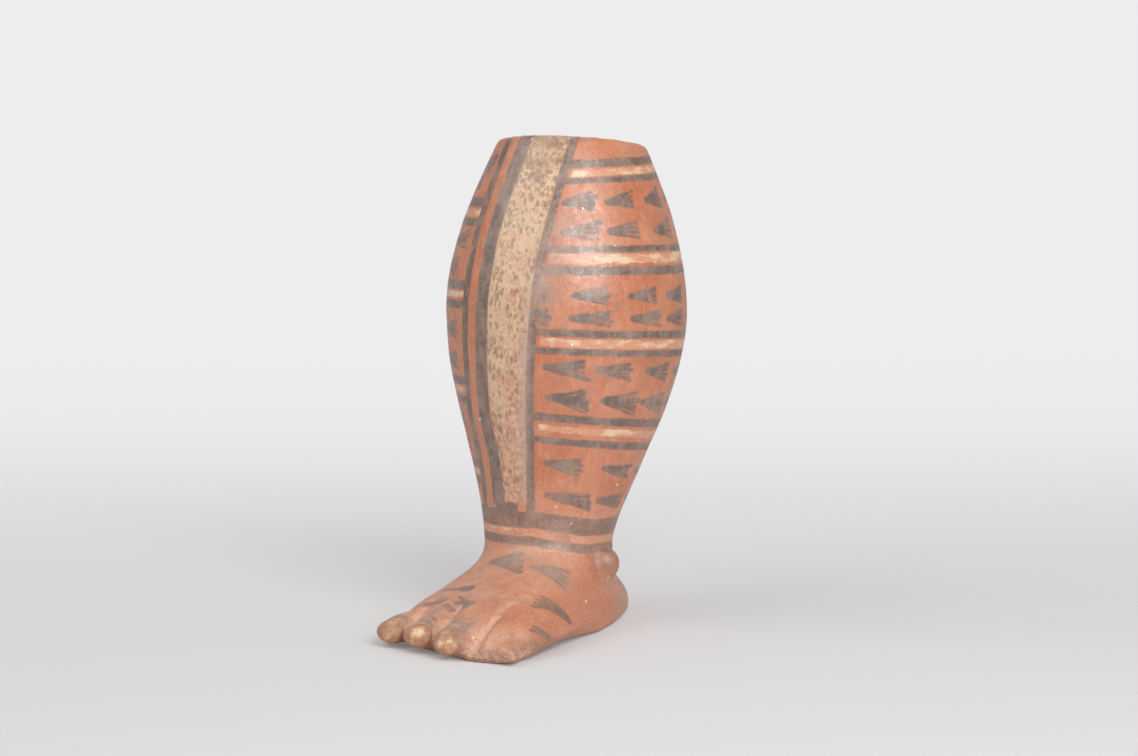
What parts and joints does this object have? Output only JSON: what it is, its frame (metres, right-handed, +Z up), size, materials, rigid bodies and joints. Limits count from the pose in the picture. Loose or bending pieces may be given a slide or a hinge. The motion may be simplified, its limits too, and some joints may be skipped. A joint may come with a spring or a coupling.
{
  "type": "leg-and-foot vessel",
  "caption": "Hollow pottery vessel in the shape of a lower leg and foot, open at the top, with luted toes, toenails and ankle knobs and traditional painted bands.",
  "frame": {"origin": "on the standing surface, below the middle of the ankle", "axes": "+Z up along the leg, -Y towards the toes, +X towards the big toe's side of a right foot"},
  "size_m": [0.124, 0.1994, 0.2474],
  "materials": {
    "painted_slip": "burnished red slip with dark and cream painted bands",
    "worn_clay": "worn unglazed earthenware",
    "cream_slip": "matt cream slip"
  },
  "bodies": {
    "root": {"sole_slab": "worn_clay", "foot_shell": "painted_slip", "lower_leg_wall": "painted_slip", "upper_leg_wall": "painted_slip", "rim_coil": "painted_slip", "inner_ankle_knob": "painted_slip", "outer_ankle_knob": "painted_slip", "little_toe": "painted_slip", "fourth_toe": "painted_slip", "third_toe": "painted_slip", "second_toe": "worn_clay", "big_toe": "worn_clay", "little_toenail": "cream_slip", "fourth_toenail": "cream_slip", "third_toenail": "cream_slip"}
  },
  "joints": []
}
